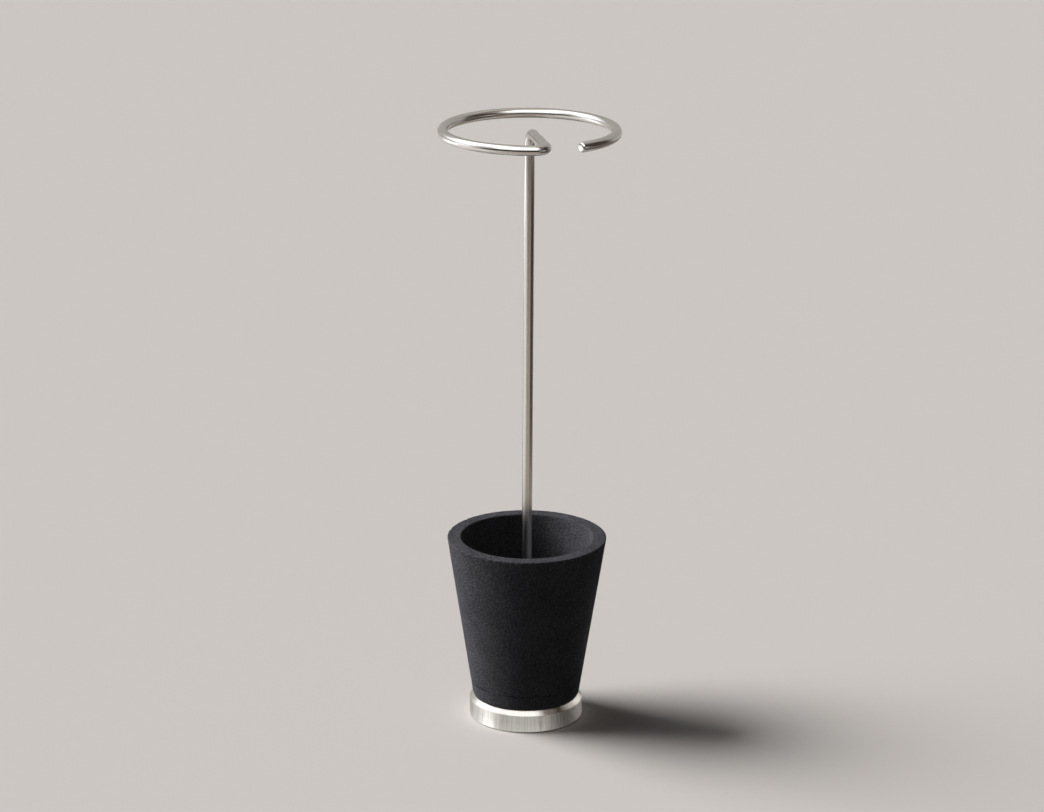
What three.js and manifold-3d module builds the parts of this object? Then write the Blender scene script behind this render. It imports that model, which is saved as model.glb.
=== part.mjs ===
// Umbrella stand: a bent round bar with an open ring, screwed through a cast pot into a turned base disc.
// Millimetres, +Z up. The origin is on the floor, on the common axis of the bar, the pot and the disc.
// The spoke under the ring points along -Y.

import * as THREE from 'three';
import { mergeVertices } from 'three/addons/utils/BufferGeometryUtils.js';
import Module from 'manifold-3d';

const wasm = await Module();
wasm.setup();

// ---------- driving dimensions ----------

const STAND_HEIGHT = 600; // floor to the top of the ring

// bent bar
const BAR_DIAMETER = 10;
const RING_RADIUS = 83; // ring's centreline
const TOP_BEND_RADIUS = 16; // upright into spoke
const CORNER_BEND_RADIUS = 12; // spoke into ring
const RING_END_ANGLE = 22.5; // degrees past the spoke at which the ring's free end stops

// pot
const POT_HEIGHT = 164;
const POT_RIM_RADIUS = 78.8; // outside, at the top, before its edge is rounded
const POT_FOOT_RADIUS = 53; // outside, at the bottom, before its edge is rounded
const POT_WALL = 13.8;
const POT_FLOOR = 16;
const POT_FOOT_EDGE = 1.5; // rounding of the outer edge on which the pot stands
const POT_RIM_EDGE = 1.2; // rounding of both edges of the rim
const POT_INNER_FILLET = 8; // wall into floor, inside

// base disc
const DISC_RADIUS = 56.2;
const DISC_THICKNESS = 21.5;
const DISC_CHAMFER = 4.2;
const DISC_LOWER_EDGE = 0.6; // small chamfer next to the floor

// non-slip pad
const PAD_RADIUS = 51;
const PAD_THICKNESS = 2;
const PAD_PROUD = 0.5; // how far the pad stands below the disc

// gasket between disc and pot
const GASKET_THICKNESS = 1;
const GASKET_INSET = 5; // how far its edge lies inside the pot's foot

// foot fitting: hub, flange and threaded spigot, turned from one piece
const HUB_RADIUS = 9;
const HUB_HEIGHT = 16; // above the flange
const SOCKET_DEPTH = 14;
const FLANGE_RADIUS = 17;
const FLANGE_THICKNESS = 5;
const FLANGE_EDGE = 0.8;
const THREAD_DIAMETER = 10;
const THREAD_ENGAGEMENT = 11.25; // full thread inside the disc: 7.5 turns of a 1.5 mm pitch
const THREAD_LEAD_IN = 1.2; // chamfered tip of the spigot
const RELIEF_DIAMETER = 8.6; // groove under the flange, in which the washer is held captive
const RELIEF_PLAY = 0.6; // how much taller the groove is than the washer

// pin through hub and bar
const PIN_DIAMETER = 3;
const PIN_LENGTH = 17;
const PIN_HEIGHT = 8; // above the flange

// washer, seal and bush
const WASHER_RADIUS = 16;
const WASHER_THICKNESS = 2;
const SEAL_RADIUS = 15;
const SEAL_THICKNESS = 2;
const BUSH_WALL = 2.4;

// fits, all radial
const SOCKET_CLEARANCE = 0.15; // bar in socket
const THREAD_CLEARANCE = 0.15; // spigot in the disc's tapped hole
const PASSAGE_CLEARANCE = 0.3; // spigot through seal, bush and gasket
const WASHER_CLEARANCE = 0.3; // washer round the groove, less than the thread stands out
const BUSH_CLEARANCE = 0.2; // bush in the pot's hole
const PAD_CLEARANCE = 0.3; // pad in the disc's recess
const PIN_CLEARANCE = 0.12; // pin in hub and bar

// fineness of the round surfaces
const LARGE_SIDES = 64;
const SMALL_SIDES = 32;
const BAR_SIDES = 16;
const RING_STEP = 6; // degrees of ring between two stations
const BEND_STEPS = 6; // stations in each 90 degree bend
const ROUND_STEPS = 3; // steps in each small rounding

// ---------- heights and radii that follow ----------

const barRadius = BAR_DIAMETER / 2;
const threadRadius = THREAD_DIAMETER / 2;
const ringHeight = STAND_HEIGHT - barRadius;

const discBottom = PAD_PROUD;
const discTop = discBottom + DISC_THICKNESS;
const potBottom = discTop + GASKET_THICKNESS;
const potFloorTop = potBottom + POT_FLOOR;
const potTop = potBottom + POT_HEIGHT;
const sealTop = potFloorTop + SEAL_THICKNESS;
const washerTop = sealTop + WASHER_THICKNESS;
const flangeTop = washerTop + FLANGE_THICKNESS;
const hubTop = flangeTop + HUB_HEIGHT;
const barBottom = hubTop - SOCKET_DEPTH;
const reliefBottom = sealTop - RELIEF_PLAY;
const spigotBottom = discTop - THREAD_ENGAGEMENT - THREAD_LEAD_IN;
const pinAxisHeight = flangeTop + PIN_HEIGHT;

const tappedRadius = threadRadius + THREAD_CLEARANCE;
const passageRadius = threadRadius + PASSAGE_CLEARANCE;
const reliefRadius = RELIEF_DIAMETER / 2;
const bushRadius = passageRadius + BUSH_WALL;
const potHoleRadius = bushRadius + BUSH_CLEARANCE;
const gasketRadius = POT_FOOT_RADIUS - GASKET_INSET;

// ---------- finishes ----------

const finishes = {
  polishedSteel: { color: 0xc9c6c0, roughness: 0.12, metalness: 1 },
  turnedSteel: { color: 0xc4c1bb, roughness: 0.32, metalness: 1 },
  castStone: { color: 0x1b1c1f, roughness: 0.9, metalness: 0 },
  rubber: { color: 0x151515, roughness: 0.8, metalness: 0 },
  nylon: { color: 0xd9d6cc, roughness: 0.55, metalness: 0 },
};

// ---------- helpers ----------

const degrees = (value) => (value * Math.PI) / 180;

function makeNode(name, geometry, finish) {
  const mesh = new THREE.Mesh(geometry, new THREE.MeshStandardMaterial(finishes[finish]));
  mesh.name = name;
  return mesh;
}

// A solid of revolution about Z. Each point is [radius, height], in order up the outside and back down
// the inside. A profile that doesn't touch the axis is closed on itself.
function turned(points, sides) {
  const profile = points.map(([radius, height]) => new THREE.Vector2(radius, height));
  const onAxis = points[0][0] === 0 && points.at(-1)[0] === 0;
  if (!onAxis) profile.push(profile[0].clone());
  return new THREE.LatheGeometry(profile, sides).rotateX(Math.PI / 2);
}

// A flat ring or a plain sleeve between two heights.
function sleeve(innerRadius, outerRadius, low, high, sides) {
  return turned([[innerRadius, low], [outerRadius, low], [outerRadius, high], [innerRadius, high]], sides);
}

// The points that round a profile's corner by an arc of the given radius. The arc touches both sides.
function rounded(before, corner, after, radius, steps = ROUND_STEPS) {
  const at = new THREE.Vector2(...corner);
  const back = new THREE.Vector2(...before).sub(at).normalize();
  const ahead = new THREE.Vector2(...after).sub(at).normalize();
  const half = Math.acos(back.dot(ahead)) / 2;
  const centre = back.clone().add(ahead).normalize().multiplyScalar(radius / Math.sin(half)).add(at);
  const start = back.clone().multiplyScalar(radius / Math.tan(half)).add(at).sub(centre);
  const end = ahead.clone().multiplyScalar(radius / Math.tan(half)).add(at).sub(centre);
  const turn = Math.atan2(start.cross(end), start.dot(end));
  const points = [];
  for (let i = 0; i <= steps; i += 1) {
    const spoke = start.clone().rotateAround(new THREE.Vector2(), (turn * i) / steps);
    points.push([centre.x + spoke.x, centre.y + spoke.y]);
  }
  return points;
}

// A closed geometry as a solid for joining and cutting.
function toSolid(geometry) {
  const bare = geometry.clone();
  bare.deleteAttribute('normal');
  bare.deleteAttribute('uv');
  const merged = mergeVertices(bare, 1e-4);
  return new wasm.Manifold(
    new wasm.Mesh({
      numProp: 3,
      vertProperties: Float32Array.from(merged.attributes.position.array),
      triVerts: Uint32Array.from(merged.index.array),
    }),
  );
}

function toGeometry(solid) {
  const mesh = solid.getMesh();
  const geometry = new THREE.BufferGeometry();
  geometry.setAttribute('position', new THREE.BufferAttribute(Float32Array.from(mesh.vertProperties), 3));
  geometry.setIndex(new THREE.BufferAttribute(Uint32Array.from(mesh.triVerts), 1));
  geometry.computeVertexNormals();
  return geometry;
}

// A round rod lying along X through the pin's axis.
function pinRod(radius, length) {
  return new THREE.CylinderGeometry(radius, radius, length, SMALL_SIDES / 2)
    .rotateZ(Math.PI / 2)
    .translate(0, 0, pinAxisHeight);
}

// ---------- the bent bar ----------

// The bar's centreline: straight stretches and arcs, as stations that each hold a point and the bar's
// direction there. Only the bends and the ring have stations close together, so the long straight
// upright costs no extra sections.
class BarCentreline extends THREE.Curve {
  constructor() {
    super();
    this.stations = [];
    this.addUpright();
    this.addCorner();
    this.addRing();
  }

  add(point, direction) {
    this.stations.push({ point, direction: direction.normalize() });
  }

  // From the socket straight up, then round the top bend to the horizontal, towards -Y.
  addUpright() {
    const up = new THREE.Vector3(0, 0, 1);
    const bendHeight = ringHeight - TOP_BEND_RADIUS;
    this.add(new THREE.Vector3(0, 0, barBottom), up.clone());
    for (let i = 0; i <= BEND_STEPS; i += 1) {
      const angle = (degrees(90) * i) / BEND_STEPS;
      const forward = TOP_BEND_RADIUS * (1 - Math.cos(angle));
      const rise = TOP_BEND_RADIUS * Math.sin(angle);
      this.add(
        new THREE.Vector3(0, -forward, bendHeight + rise),
        new THREE.Vector3(0, -Math.sin(angle), Math.cos(angle)),
      );
    }
  }

  // The corner at the spoke's far end: an arc that leaves the spoke and runs into the ring, touching
  // both. Its centre lies one corner radius beside the spoke, and inside the ring by the same radius.
  addCorner() {
    const reach = RING_RADIUS - CORNER_BEND_RADIUS;
    this.cornerLean = Math.asin(CORNER_BEND_RADIUS / reach);
    const centre = new THREE.Vector3(-CORNER_BEND_RADIUS, -reach * Math.cos(this.cornerLean), ringHeight);
    const turn = degrees(90) + this.cornerLean;
    for (let i = 0; i <= BEND_STEPS; i += 1) {
      const angle = -(turn * i) / BEND_STEPS;
      const offset = new THREE.Vector3(Math.cos(angle), Math.sin(angle), 0);
      this.add(
        offset.clone().multiplyScalar(CORNER_BEND_RADIUS).add(centre),
        new THREE.Vector3(offset.y, -offset.x, 0),
      );
    }
  }

  // The ring, clockwise from the corner round to its free end, RING_END_ANGLE short of a full turn.
  addRing() {
    const start = -degrees(90) - this.cornerLean;
    const sweep = degrees(360 - RING_END_ANGLE) - this.cornerLean;
    const steps = Math.ceil(sweep / degrees(RING_STEP));
    for (let i = 1; i <= steps; i += 1) {
      const angle = start - (sweep * i) / steps;
      const offset = new THREE.Vector3(Math.cos(angle), Math.sin(angle), 0);
      this.add(
        offset.clone().multiplyScalar(RING_RADIUS).setZ(ringHeight),
        new THREE.Vector3(offset.y, -offset.x, 0),
      );
    }
  }

  get steps() {
    return this.stations.length - 1;
  }

  stationAt(u) {
    return this.stations[Math.round(u * this.steps)];
  }

  getPointAt(u, target = new THREE.Vector3()) {
    return target.copy(this.stationAt(u).point);
  }

  getTangentAt(u, target = new THREE.Vector3()) {
    return target.copy(this.stationAt(u).direction);
  }
}

function makeBar() {
  const centreline = new BarCentreline();
  const section = new THREE.Shape();
  for (let i = 0; i < BAR_SIDES; i += 1) {
    const angle = degrees((360 * i) / BAR_SIDES);
    const x = barRadius * Math.cos(angle);
    const y = barRadius * Math.sin(angle);
    if (i === 0) section.moveTo(x, y);
    else section.lineTo(x, y);
  }
  const geometry = new THREE.ExtrudeGeometry(section, { steps: centreline.steps, extrudePath: centreline });
  const pinHole = pinRod(PIN_DIAMETER / 2 + PIN_CLEARANCE, 2 * BAR_DIAMETER);
  return makeNode('upright_bar', toGeometry(toSolid(geometry).subtract(toSolid(pinHole))), 'polishedSteel');
}

// ---------- the foot of the bar ----------

function makeFootFitting() {
  const socketRadius = barRadius + SOCKET_CLEARANCE;
  const body = turned(
    [
      [0, spigotBottom],
      [threadRadius - THREAD_LEAD_IN, spigotBottom],
      [threadRadius, spigotBottom + THREAD_LEAD_IN],
      [threadRadius, reliefBottom],
      [reliefRadius, reliefBottom],
      [reliefRadius, washerTop],
      [FLANGE_RADIUS - FLANGE_EDGE, washerTop],
      [FLANGE_RADIUS, washerTop + FLANGE_EDGE],
      [FLANGE_RADIUS, flangeTop - FLANGE_EDGE],
      [FLANGE_RADIUS - FLANGE_EDGE, flangeTop],
      [HUB_RADIUS, flangeTop],
      [HUB_RADIUS, hubTop - FLANGE_EDGE],
      [HUB_RADIUS - FLANGE_EDGE, hubTop],
      [socketRadius, hubTop],
      [socketRadius, barBottom],
      [0, barBottom],
    ],
    SMALL_SIDES,
  );
  const pinHole = pinRod(PIN_DIAMETER / 2 + PIN_CLEARANCE, 3 * HUB_RADIUS);
  return makeNode('foot_fitting', toGeometry(toSolid(body).subtract(toSolid(pinHole))), 'turnedSteel');
}

function makeCrossPin() {
  return makeNode('cross_pin', pinRod(PIN_DIAMETER / 2, PIN_LENGTH), 'turnedSteel');
}

function makeClampWasher() {
  const geometry = sleeve(reliefRadius + WASHER_CLEARANCE, WASHER_RADIUS, sealTop, washerTop, SMALL_SIDES);
  return makeNode('clamp_washer', geometry, 'turnedSteel');
}

function makeClampSeal() {
  const geometry = sleeve(passageRadius, SEAL_RADIUS, potFloorTop, sealTop, SMALL_SIDES);
  return makeNode('clamp_seal', geometry, 'rubber');
}

// ---------- the pot and what it stands on ----------

function makePot() {
  const lean = (POT_RIM_RADIUS - POT_FOOT_RADIUS) / POT_HEIGHT;
  const foot = [POT_FOOT_RADIUS, potBottom];
  const rimOut = [POT_RIM_RADIUS, potTop];
  const rimIn = [POT_RIM_RADIUS - POT_WALL, potTop];
  const floorOut = [POT_FOOT_RADIUS + lean * POT_FLOOR - POT_WALL, potFloorTop];
  const holeLow = [potHoleRadius, potBottom];
  const holeHigh = [potHoleRadius, potFloorTop];
  const geometry = turned(
    [
      holeLow,
      ...rounded(holeLow, foot, rimOut, POT_FOOT_EDGE),
      ...rounded(foot, rimOut, rimIn, POT_RIM_EDGE),
      ...rounded(rimOut, rimIn, floorOut, POT_RIM_EDGE),
      ...rounded(rimIn, floorOut, holeHigh, POT_INNER_FILLET, 2 * ROUND_STEPS),
      holeHigh,
    ],
    LARGE_SIDES,
  );
  return makeNode('pot', geometry, 'castStone');
}

function makePotBush() {
  const geometry = sleeve(passageRadius, bushRadius, potBottom, potFloorTop, SMALL_SIDES);
  return makeNode('pot_bush', geometry, 'nylon');
}

function makeSeatGasket() {
  const geometry = sleeve(passageRadius, gasketRadius, discTop, potBottom, LARGE_SIDES);
  return makeNode('seat_gasket', geometry, 'rubber');
}

function makeBaseDisc() {
  const recessRadius = PAD_RADIUS + PAD_CLEARANCE;
  const recessTop = PAD_THICKNESS;
  const geometry = turned(
    [
      [recessRadius, discBottom],
      [DISC_RADIUS - DISC_LOWER_EDGE, discBottom],
      [DISC_RADIUS, discBottom + DISC_LOWER_EDGE],
      [DISC_RADIUS, discTop - DISC_CHAMFER],
      [DISC_RADIUS - DISC_CHAMFER, discTop],
      [tappedRadius, discTop],
      [tappedRadius, recessTop],
      [recessRadius, recessTop],
    ],
    LARGE_SIDES,
  );
  return makeNode('base_disc', geometry, 'turnedSteel');
}

function makeFloorPad() {
  const geometry = turned(
    [
      [0, 0],
      [PAD_RADIUS, 0],
      [PAD_RADIUS, PAD_THICKNESS],
      [0, PAD_THICKNESS],
    ],
    LARGE_SIDES,
  );
  return makeNode('floor_pad', geometry, 'rubber');
}

// ---------- the stand ----------

const foot = new THREE.Group();
foot.add(makeBaseDisc(), makeFloorPad(), makeSeatGasket(), makePot(), makePotBush());

const clamp = new THREE.Group();
clamp.add(makeClampWasher(), makeClampSeal());

const upright = new THREE.Group();
upright.add(makeBar(), makeFootFitting(), makeCrossPin());

const umbrellaStand = new THREE.Group();
umbrellaStand.add(foot, clamp, upright);

export default umbrellaStand;
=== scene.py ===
"""Umbrella stand: a bent steel bar with an open ring, a cast pot and a turned base disc.

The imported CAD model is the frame. Each of its nodes is replaced here by a smooth, finished piece that
rides on the same body. Lengths are metres; MM turns millimetres into them.
"""

import logging
import math
import random
from dataclasses import dataclass, field
from enum import Enum
from typing import Callable, Iterable, Sequence

import bmesh
import bpy
from mathutils import Matrix, Vector, noise


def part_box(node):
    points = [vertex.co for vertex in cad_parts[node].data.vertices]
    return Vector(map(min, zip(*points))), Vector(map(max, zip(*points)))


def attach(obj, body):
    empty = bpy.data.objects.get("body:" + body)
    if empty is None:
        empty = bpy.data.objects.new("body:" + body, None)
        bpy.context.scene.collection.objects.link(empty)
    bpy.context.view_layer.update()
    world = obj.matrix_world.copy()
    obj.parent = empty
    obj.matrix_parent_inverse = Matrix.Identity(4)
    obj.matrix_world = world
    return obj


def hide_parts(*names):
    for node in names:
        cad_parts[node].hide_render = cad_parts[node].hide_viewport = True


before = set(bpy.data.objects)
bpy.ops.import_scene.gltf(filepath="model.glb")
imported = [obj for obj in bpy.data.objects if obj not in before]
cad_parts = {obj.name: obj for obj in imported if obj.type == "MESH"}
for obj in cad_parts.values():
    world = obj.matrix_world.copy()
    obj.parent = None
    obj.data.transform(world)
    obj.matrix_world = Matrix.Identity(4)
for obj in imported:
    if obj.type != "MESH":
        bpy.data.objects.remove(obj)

logging.basicConfig(level=logging.INFO, format="%(message)s")
log = logging.getLogger("umbrella_stand")

Tree = bpy.types.NodeTree
Socket = bpy.types.NodeSocket
Mesh = bmesh.types.BMesh
Edge = bmesh.types.BMEdge
Vert = bmesh.types.BMVert
Colour = tuple[float, float, float, float]

MM = 0.001
FULL_TURN = math.tau
QUARTER_TURN = FULL_TURN / 4
ORIGIN = Vector((0.0, 0.0, 0.0))
RIGHT = Vector((1.0, 0.0, 0.0))
FORWARD = Vector((0.0, -1.0, 0.0))
UP = Vector((0.0, 0.0, 1.0))
WELD = 0.001 * MM  # vertices nearer than this are merged
NEAR = 10 * WELD  # and this near counts as the same place
SMOOTH_BELOW = math.radians(32)  # an edge that turns further looks sharp
TRACK = "bar_track"
ALONG = "bar_direction"
SEAM = "pour_seam"
NOISE_LOW = 0.3  # a noise seldom leaves the range from here
NOISE_HIGH = 0.7  # to here
NOISE_FALL = 0.55  # how strong each finer layer of a noise is beside the one before
CAMERA_SIDE = math.radians(-12.5)  # how far the camera stands from straight in front


class Body(Enum):
    """The bodies that move against each other."""

    FOOT = "foot"
    CLAMP = "clamp"
    UPRIGHT = "upright"


class Slot(Enum):
    """The record's material slots."""

    BAR = "bar_steel"
    DISC = "disc_steel"
    FITTING = "fitting_steel"
    POT = "pot_stone"
    RUBBER = "rubber"
    NYLON = "nylon"


class Cut(Enum):
    """What a tool's mesh does to a piece."""

    TAKE_AWAY = "DIFFERENCE"
    JOIN = "UNION"


# ---------- finishes ----------


def linear(code: str) -> Colour:
    """Turns an sRGB colour into the linear one that shaders take.

    Args:
        code: The colour as six hex digits, with or without a leading hash.

    Returns:
        Linear red, green, blue and an alpha of 1.
    """
    digits = code.lstrip("#")
    shares = [int(digits[i : i + 2], 16) / 255 for i in (0, 2, 4)]
    red, green, blue = (s / 12.92 if s <= 0.04045 else ((s + 0.055) / 1.055) ** 2.4 for s in shares)
    return red, green, blue, 1.0


def set_stops(ramp: bpy.types.ColorRamp, stops: Sequence[tuple[float, float | Colour]]) -> None:
    """Puts colours along a ramp.

    Args:
        ramp: The ramp.
        stops: Positions from 0 to 1, each with a grey level or a linear colour.
    """
    while len(ramp.elements) < len(stops):
        ramp.elements.new(0.5)
    for element, (position, value) in zip(ramp.elements, stops):
        element.position = position
        element.color = value if isinstance(value, tuple) else (value, value, value, 1.0)


def add_node(
    tree: Tree,
    kind: str,
    output: str | int | None = None,
    inputs: dict[str | int, object] | None = None,
    stops: Sequence[tuple[float, float | Colour]] = (),
    **settings: object,
) -> Socket | None:
    """Adds a node with its settings, values and links.

    Args:
        tree: The node tree to add to.
        kind: The node's type name, without the ShaderNode that it starts with.
        output: The output that is wanted, by name or number.
        inputs: Values or output sockets for the node's inputs, by name or number.
        stops: A colour ramp's stops.
        settings: Properties of the node.

    Returns:
        The output that is wanted, if any.
    """
    node = tree.nodes.new(f"ShaderNode{kind}")
    for name, value in settings.items():
        setattr(node, name, value)
    for name, value in (inputs or {}).items():
        if isinstance(value, Socket):
            tree.links.new(value, node.inputs[name])
        else:
            node.inputs[name].default_value = value
    if stops:
        set_stops(node.color_ramp, stops)
    return None if output is None else node.outputs[output]


def seen_rays(tree: Tree) -> Socket:
    """Tells the rays that show the set, straight, mirrored or through glass, from stray light.

    Args:
        tree: The node tree to add to.

    Returns:
        A socket that is 1 for the rays that show the set and 0 for stray light.
    """
    seen = add_node(tree, "LightPath", "Is Camera Ray")
    for name in ("Is Glossy Ray", "Is Transmission Ray"):
        ray = add_node(tree, "LightPath", name)
        seen = add_node(tree, "Math", "Value", {0: seen, 1: ray}, operation="MAXIMUM")
    return seen


@dataclass(frozen=True)
class Finish:
    """A named surface. Each kind of finish gives a Principled shader its own pattern and values."""

    name: str

    def make(self) -> bpy.types.Material:
        """Builds the material.

        Returns:
            The material.
        """
        material = bpy.data.materials.new(self.name)
        material.use_nodes = True
        tree = material.node_tree
        tree.nodes.clear()
        shader = add_node(tree, "BsdfPrincipled", "BSDF", self.dress(tree))
        add_node(tree, "OutputMaterial", inputs={"Surface": shader})
        return material

    def dress(self, tree: Tree) -> dict[str | int, object]:
        """Adds the pattern and returns what the shader's inputs take."""
        raise NotImplementedError


@dataclass(frozen=True)
class PolishedBar(Finish):
    """Stainless steel bar, ground between wheels as it turned, then bent and polished.

    Bright and nearly a mirror. The grinding runs round the bar, so a reflection smears along it.
    """

    tint: str = "#CECBC7"
    roughness: float = 0.165
    smoothest: float = 0.75  # share of the roughness between the marks
    roughest: float = 1.35  # and in them
    anisotropy: float = 0.9  # a reflection smears along the bar, and stays sharp across it
    mark_width: float = 0.35 * MM  # coarser than the real grinding marks, so that they show
    mark_length: float = 26 * MM  # most of the way round the bar
    mark_depth: float = 0.004 * MM
    wave_width: float = 9 * MM
    wave_length: float = 18 * MM
    wave_depth: float = 0.03 * MM

    def dress(self, tree: Tree) -> dict[str | int, object]:
        """Adds the marks and waves, which follow the bar through its bends.

        Args:
            tree: The material's node tree.

        Returns:
            What the shader's inputs take, by name.
        """
        track = add_node(tree, "Attribute", "Vector", attribute_name=TRACK)
        around = self.mark_width / self.mark_length
        along = self.wave_width / self.wave_length
        patterns = []
        for stretch, size, detail in (
            ((around, around, 1.0), self.mark_width, 3.0),
            ((1.0, 1.0, along), self.wave_width, 1.0),
        ):
            drawn = add_node(tree, "VectorMath", "Vector", {0: track, 1: stretch}, operation="MULTIPLY")
            inputs = {"Vector": drawn, "Scale": 1 / size, "Detail": detail, "Roughness": NOISE_FALL}
            patterns.append(add_node(tree, "TexNoise", "Fac", inputs))
        marks, waves = patterns
        swing = {"From Min": NOISE_LOW, "From Max": NOISE_HIGH, "To Min": self.roughness * self.smoothest}
        inputs = {"Value": marks, "To Max": self.roughness * self.roughest, **swing}
        rough = add_node(tree, "MapRange", "Result", inputs)
        inputs = {"Height": waves, "Distance": self.wave_depth}
        waved = add_node(tree, "Bump", "Normal", inputs)
        inputs = {"Height": marks, "Distance": self.mark_depth, "Normal": waved}
        return {
            "Base Color": linear(self.tint),
            "Metallic": 1.0,
            "Roughness": rough,
            "Anisotropic": self.anisotropy,
            "Tangent": add_node(tree, "Attribute", "Vector", attribute_name=ALONG),
            "Normal": add_node(tree, "Bump", "Normal", inputs),
        }


@dataclass(frozen=True)
class TurnedSteel(Finish):
    """Stainless steel turned on a lathe and brushed while it spun.

    The marks run round the axis, so a reflection smears along the axis on a side and outwards on a face.
    The sides also carry upright streaks of painted reflection in their colour.
    """

    tint: str = "#D6D3CF"
    # painted reflection: this darker colour in upright streaks stands in for the speckled floor mirrored
    # and smeared in the sides
    painted_reflection_dark: str = "#B4B0AA"
    painted_reflection_dark_at: float = 0.32  # where the streak noise gives the darkest painted reflection
    bright_at: float = 0.62  # and where it reaches the tint
    roughness: float = 0.31
    smoothest: float = 0.8  # share of the roughness between the brush lines
    roughest: float = 1.25  # and in them
    anisotropy: float = 0.95
    smear_turn: float = 0.25  # a quarter turn, because the tangent runs along the marks
    line_width: float = 0.16 * MM  # coarser than the real brush lines, so that they show
    line_depth: float = 0.006 * MM
    chatter: float = 2.2 * MM  # spacing of the faint upright ripples that a lathe leaves
    chatter_depth: float = 0.012 * MM
    streak: float = 1.0 * MM  # width of the upright streaks of painted reflection, which stand in for the speckled floor smeared in a side

    def dress(self, tree: Tree) -> dict[str | int, object]:
        """Adds the brush lines, the ripples and the painted reflection streaks in the colour, which only
        the sides have.

        Args:
            tree: The material's node tree.

        Returns:
            What the shader's inputs take, by name.
        """
        place = add_node(tree, "TexCoord", "Object")
        flat = add_node(tree, "VectorMath", "Vector", {0: place, 1: (1.0, 1.0, 0.0)}, operation="MULTIPLY")
        radius = add_node(tree, "VectorMath", "Value", {0: flat}, operation="LENGTH")
        height = add_node(tree, "SeparateXYZ", "Z", {"Vector": place})
        across = add_node(tree, "CombineXYZ", "Vector", {"X": radius, "Z": height})
        patterns = []
        for where, size, detail in (
            (across, self.line_width, 2.0),
            (flat, self.chatter, 2.0),
            (flat, self.streak, 4.0),
        ):
            inputs = {"Vector": where, "Scale": 1 / size, "Detail": detail, "Roughness": NOISE_FALL}
            patterns.append(add_node(tree, "TexNoise", "Fac", inputs))
        lines, ripples, streaks = patterns
        # painted reflection: upright streaks in the colour on the sides; a face, whose level is 1, always
        # gets the plain tint
        facing = add_node(tree, "TexCoord", "Normal")
        slope = add_node(tree, "SeparateXYZ", "Z", {"Vector": facing})
        level = add_node(tree, "Math", "Value", {0: slope}, operation="ABSOLUTE")
        painted_reflection_mask = add_node(tree, "Math", "Value", {0: streaks, 1: level}, operation="ADD")
        stops = [(self.painted_reflection_dark_at, linear(self.painted_reflection_dark)), (self.bright_at, linear(self.tint))]
        swing = {"From Min": NOISE_LOW, "From Max": NOISE_HIGH, "To Min": self.roughness * self.smoothest}
        inputs = {"Value": lines, "To Max": self.roughness * self.roughest, **swing}
        rough = add_node(tree, "MapRange", "Result", inputs)
        rippled = add_node(tree, "Bump", "Normal", {"Height": ripples, "Distance": self.chatter_depth})
        inputs = {"Height": lines, "Distance": self.line_depth, "Normal": rippled}
        return {
            "Base Color": add_node(tree, "ValToRGB", "Color", {"Fac": painted_reflection_mask}, stops),
            "Metallic": 1.0,
            "Roughness": rough,
            "Anisotropic": self.anisotropy,
            "Anisotropic Rotation": self.smear_turn,
            "Tangent": add_node(tree, "Tangent", "Tangent", direction_type="RADIAL", axis="Z"),
            "Normal": add_node(tree, "Bump", "Normal", inputs),
        }


@dataclass(frozen=True)
class CastStone(Finish):
    """Black pigmented fine concrete, cast and left matt.

    Dull and granular: sand grains of about a millimetre show as lighter and darker specks.
    """

    pore: str = "#38383C"
    pore_at: float = 0.38
    ground: str = "#45454A"
    ground_at: float = 0.5
    speck: str = "#58585E"
    speck_at: float = 0.64
    seam: float = 1.0 * MM  # half the width of the line between two pours
    seam_core: float = 0.3  # share of it that is as dark as the line gets
    roughness: float = 0.88
    gloss: float = 0.08
    grain_size: float = 1.5 * MM
    grain_depth: float = 1.1 * MM
    fine_size: float = 0.55 * MM
    fine_depth: float = 0.12 * MM
    cloud: float = 28 * MM
    cloud_dark: float = 0.86
    cloud_light: float = 1.14

    def dress(self, tree: Tree) -> dict[str | int, object]:
        """Adds the grains, the broad clouds and the line between the pours.

        Args:
            tree: The material's node tree.

        Returns:
            What the shader's inputs take, by name.
        """
        place = add_node(tree, "TexCoord", "Object")
        patterns = []
        for size, detail in ((self.grain_size, 2.0), (self.fine_size, 1.0), (self.cloud, 3.0)):
            inputs = {"Vector": place, "Scale": 1 / size, "Detail": detail, "Roughness": NOISE_FALL}
            patterns.append(add_node(tree, "TexNoise", "Fac", inputs))
        grains, fine, clouds = patterns
        stops = [(self.pore_at, linear(self.pore)), (self.ground_at, linear(self.ground))]
        stops.append((self.speck_at, linear(self.speck)))
        colour = add_node(tree, "ValToRGB", "Color", {"Fac": grains}, stops)
        stops = [(NOISE_LOW, self.cloud_dark), (NOISE_HIGH, self.cloud_light)]
        shade = add_node(tree, "ValToRGB", "Color", {"Fac": clouds}, stops)
        joint = add_node(tree, "Attribute", "Vector", attribute_name=SEAM)
        away, brightness = (add_node(tree, "SeparateXYZ", axis, {"Vector": joint}) for axis in "XY")
        inputs = {"Value": away, "From Min": self.seam_core * self.seam, "From Max": self.seam}
        line = add_node(tree, "MapRange", "Result", {**inputs, "To Min": brightness, "To Max": 1.0})
        for darkening in (shade, line):
            inputs = {0: 1.0, 6: colour, 7: darkening}
            colour = add_node(tree, "Mix", 2, inputs, data_type="RGBA", blend_type="MULTIPLY")
        coarse = add_node(tree, "Bump", "Normal", {"Height": grains, "Distance": self.grain_depth})
        inputs = {"Height": fine, "Distance": self.fine_depth, "Normal": coarse}
        return {
            "Base Color": colour,
            "Roughness": self.roughness,
            "Specular IOR Level": self.gloss,
            "Normal": add_node(tree, "Bump", "Normal", inputs),
        }


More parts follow.
